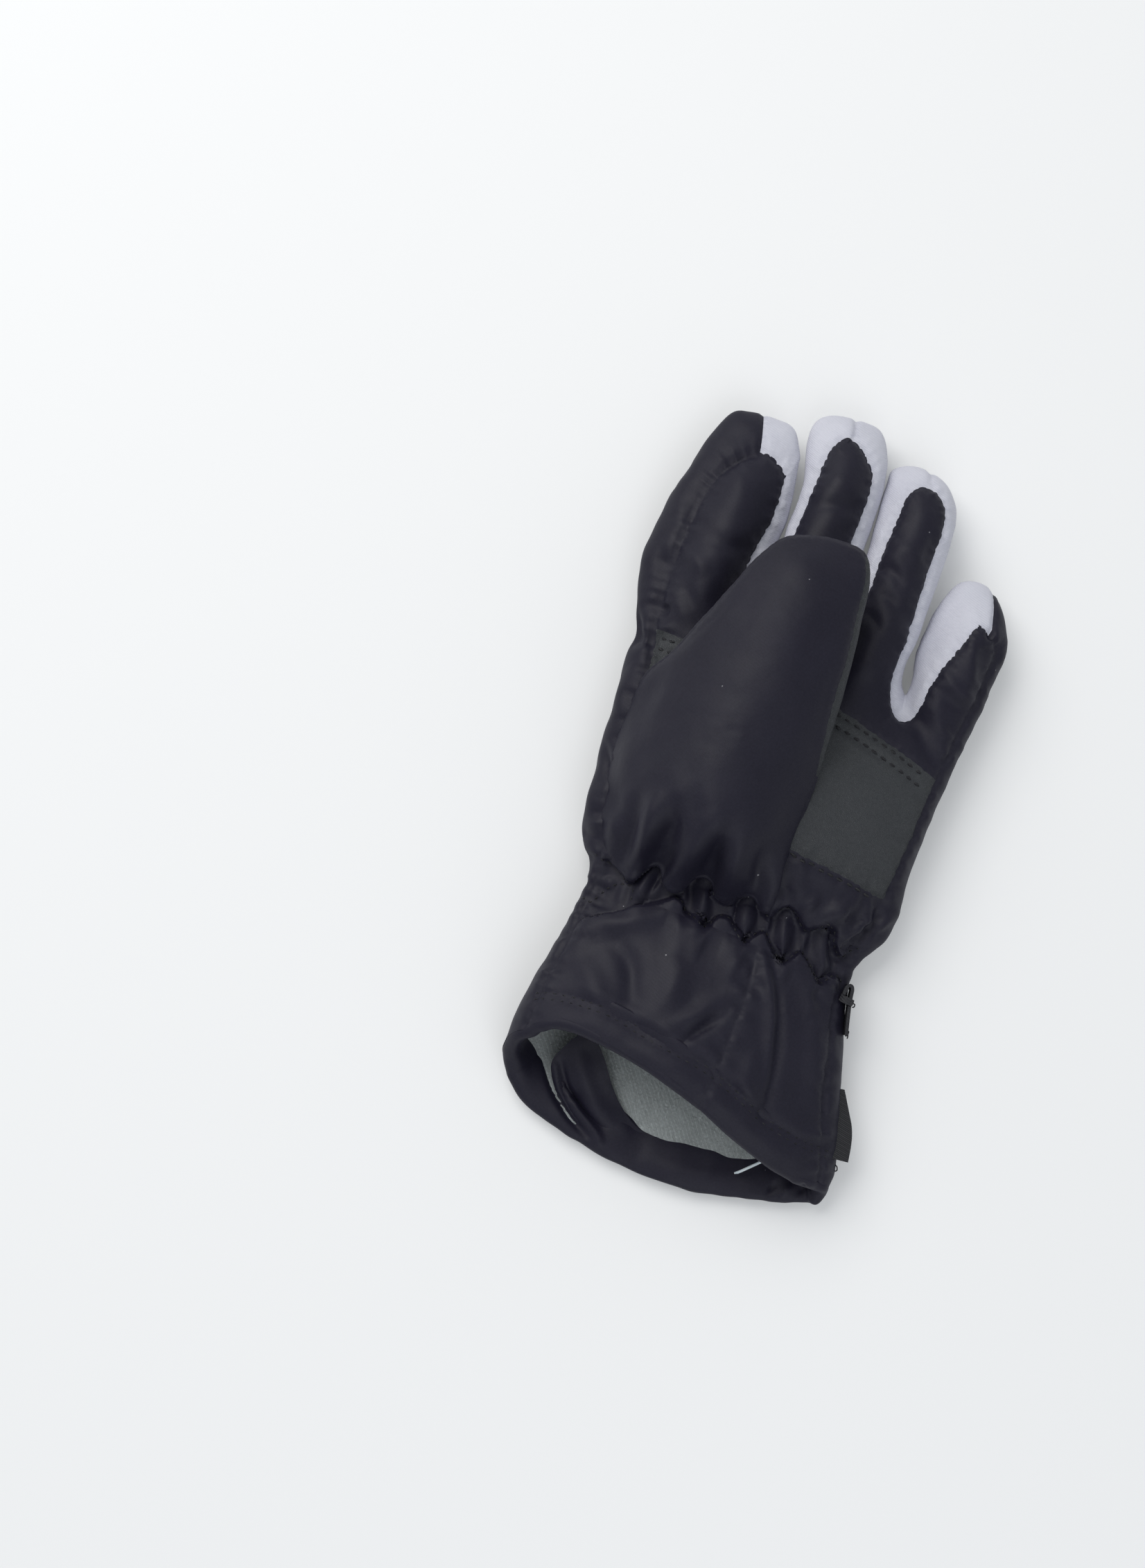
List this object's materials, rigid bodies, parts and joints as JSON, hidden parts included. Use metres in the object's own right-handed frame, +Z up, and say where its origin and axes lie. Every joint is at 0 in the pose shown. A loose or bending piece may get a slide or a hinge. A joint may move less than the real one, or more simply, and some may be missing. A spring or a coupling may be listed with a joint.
{
  "type": "ski glove",
  "caption": "Padded child's ski glove with grey side strips, a grip patch on the palm and a flared cuff. Fingertips bend and the folded thumb lifts.",
  "frame": {"origin": "on the table, under the middle of the wrist, with the glove lying on its back", "axes": "+Y to the fingertips, +X to the little finger, +Z up out of the palm"},
  "size_m": [0.1103, 0.2156, 0.0494],
  "materials": {
    "shell_nylon": "coarse woven nylon with a dull sheen",
    "fourchette_grey": "pale grey woven nylon, fine twill",
    "grip_patch": "pebbled synthetic leather",
    "wadding": "soft white polyester wadding",
    "hand_fleece": "brushed knit",
    "cuff_knit": "brushed ribbed knit",
    "elastic": "flat woven elastic",
    "webbing": "flat woven tape",
    "woven_label": "satin-woven, bare",
    "thread": "twisted sewing thread"
  },
  "bodies": {
    "hand": {"back_panel": "shell_nylon", "palm_upper_panel": "shell_nylon", "palm_lower_panel": "shell_nylon", "palm_patch": "grip_patch", "index_side_strip": "shell_nylon", "little_side_strip": "shell_nylon", "fourchette_index_middle": "fourchette_grey", "fourchette_middle_ring": "fourchette_grey", "fourchette_ring_little": "fourchette_grey", "wrist_elastic": "elastic", "hand_insulation": "wadding", "hand_lining": "hand_fleece", "thumb_base_panel": "shell_nylon", "thumb_base_insulation": "wadding", "thumb_base_lining": "hand_fleece", "cuff_back_panel": "shell_nylon", "cuff_front_left_panel": "shell_nylon", "cuff_front_right_panel": "shell_nylon", "cuff_lining": "cuff_knit", "hem_facing": "shell_nylon", "side_loop": "webbing", "side_label": "woven_label"},
    "index_tip": {"index_tip_back": "shell_nylon", "index_tip_front": "shell_nylon", "index_tip_left_side": "shell_nylon", "index_tip_right_side": "fourchette_grey", "index_tip_insulation": "wadding", "index_tip_lining": "hand_fleece"},
    "middle_tip": {"middle_tip_back": "shell_nylon", "middle_tip_front": "shell_nylon", "middle_tip_left_side": "fourchette_grey", "middle_tip_right_side": "fourchette_grey", "middle_tip_insulation": "wadding", "middle_tip_lining": "hand_fleece"},
    "ring_tip": {"ring_tip_back": "shell_nylon", "ring_tip_front": "shell_nylon", "ring_tip_left_side": "fourchette_grey", "ring_tip_right_side": "fourchette_grey", "ring_tip_insulation": "wadding", "ring_tip_lining": "hand_fleece"},
    "little_tip": {"little_tip_back": "shell_nylon", "little_tip_front": "shell_nylon", "little_tip_left_side": "fourchette_grey", "little_tip_right_side": "shell_nylon", "little_tip_insulation": "wadding", "little_tip_lining": "hand_fleece"},
    "thumb": {"thumb_front_panel": "shell_nylon", "thumb_back_panel": "grip_patch", "thumb_insulation": "wadding", "thumb_lining": "hand_fleece"}
  },
  "joints": [
    {"name": "index_bend", "type": "hinge", "parent": "hand", "child": "index_tip", "pos_m": [-0.04, 0.1085, 0.0234], "axis": [1, 0, 0], "range_deg": [0, 80], "stiffness_Nm_per_rad": 0.02},
    {"name": "middle_bend", "type": "hinge", "parent": "hand", "child": "middle_tip", "pos_m": [-0.0123, 0.1125, 0.0234], "axis": [1, 0, 0], "range_deg": [0, 80], "stiffness_Nm_per_rad": 0.02},
    {"name": "ring_bend", "type": "hinge", "parent": "hand", "child": "ring_tip", "pos_m": [0.0114, 0.109, 0.0234], "axis": [1, 0, 0], "range_deg": [0, 80], "stiffness_Nm_per_rad": 0.02},
    {"name": "little_bend", "type": "hinge", "parent": "hand", "child": "little_tip", "pos_m": [0.0344, 0.09, 0.0234], "axis": [1, 0, 0], "range_deg": [0, 80], "stiffness_Nm_per_rad": 0.02},
    {"name": "thumb_lift", "type": "hinge", "parent": "hand", "child": "thumb", "pos_m": [-0.0148, 0.0436, 0.0495], "axis": [0.7396, -0.673, 0], "range_deg": [0, 80]}
  ]
}
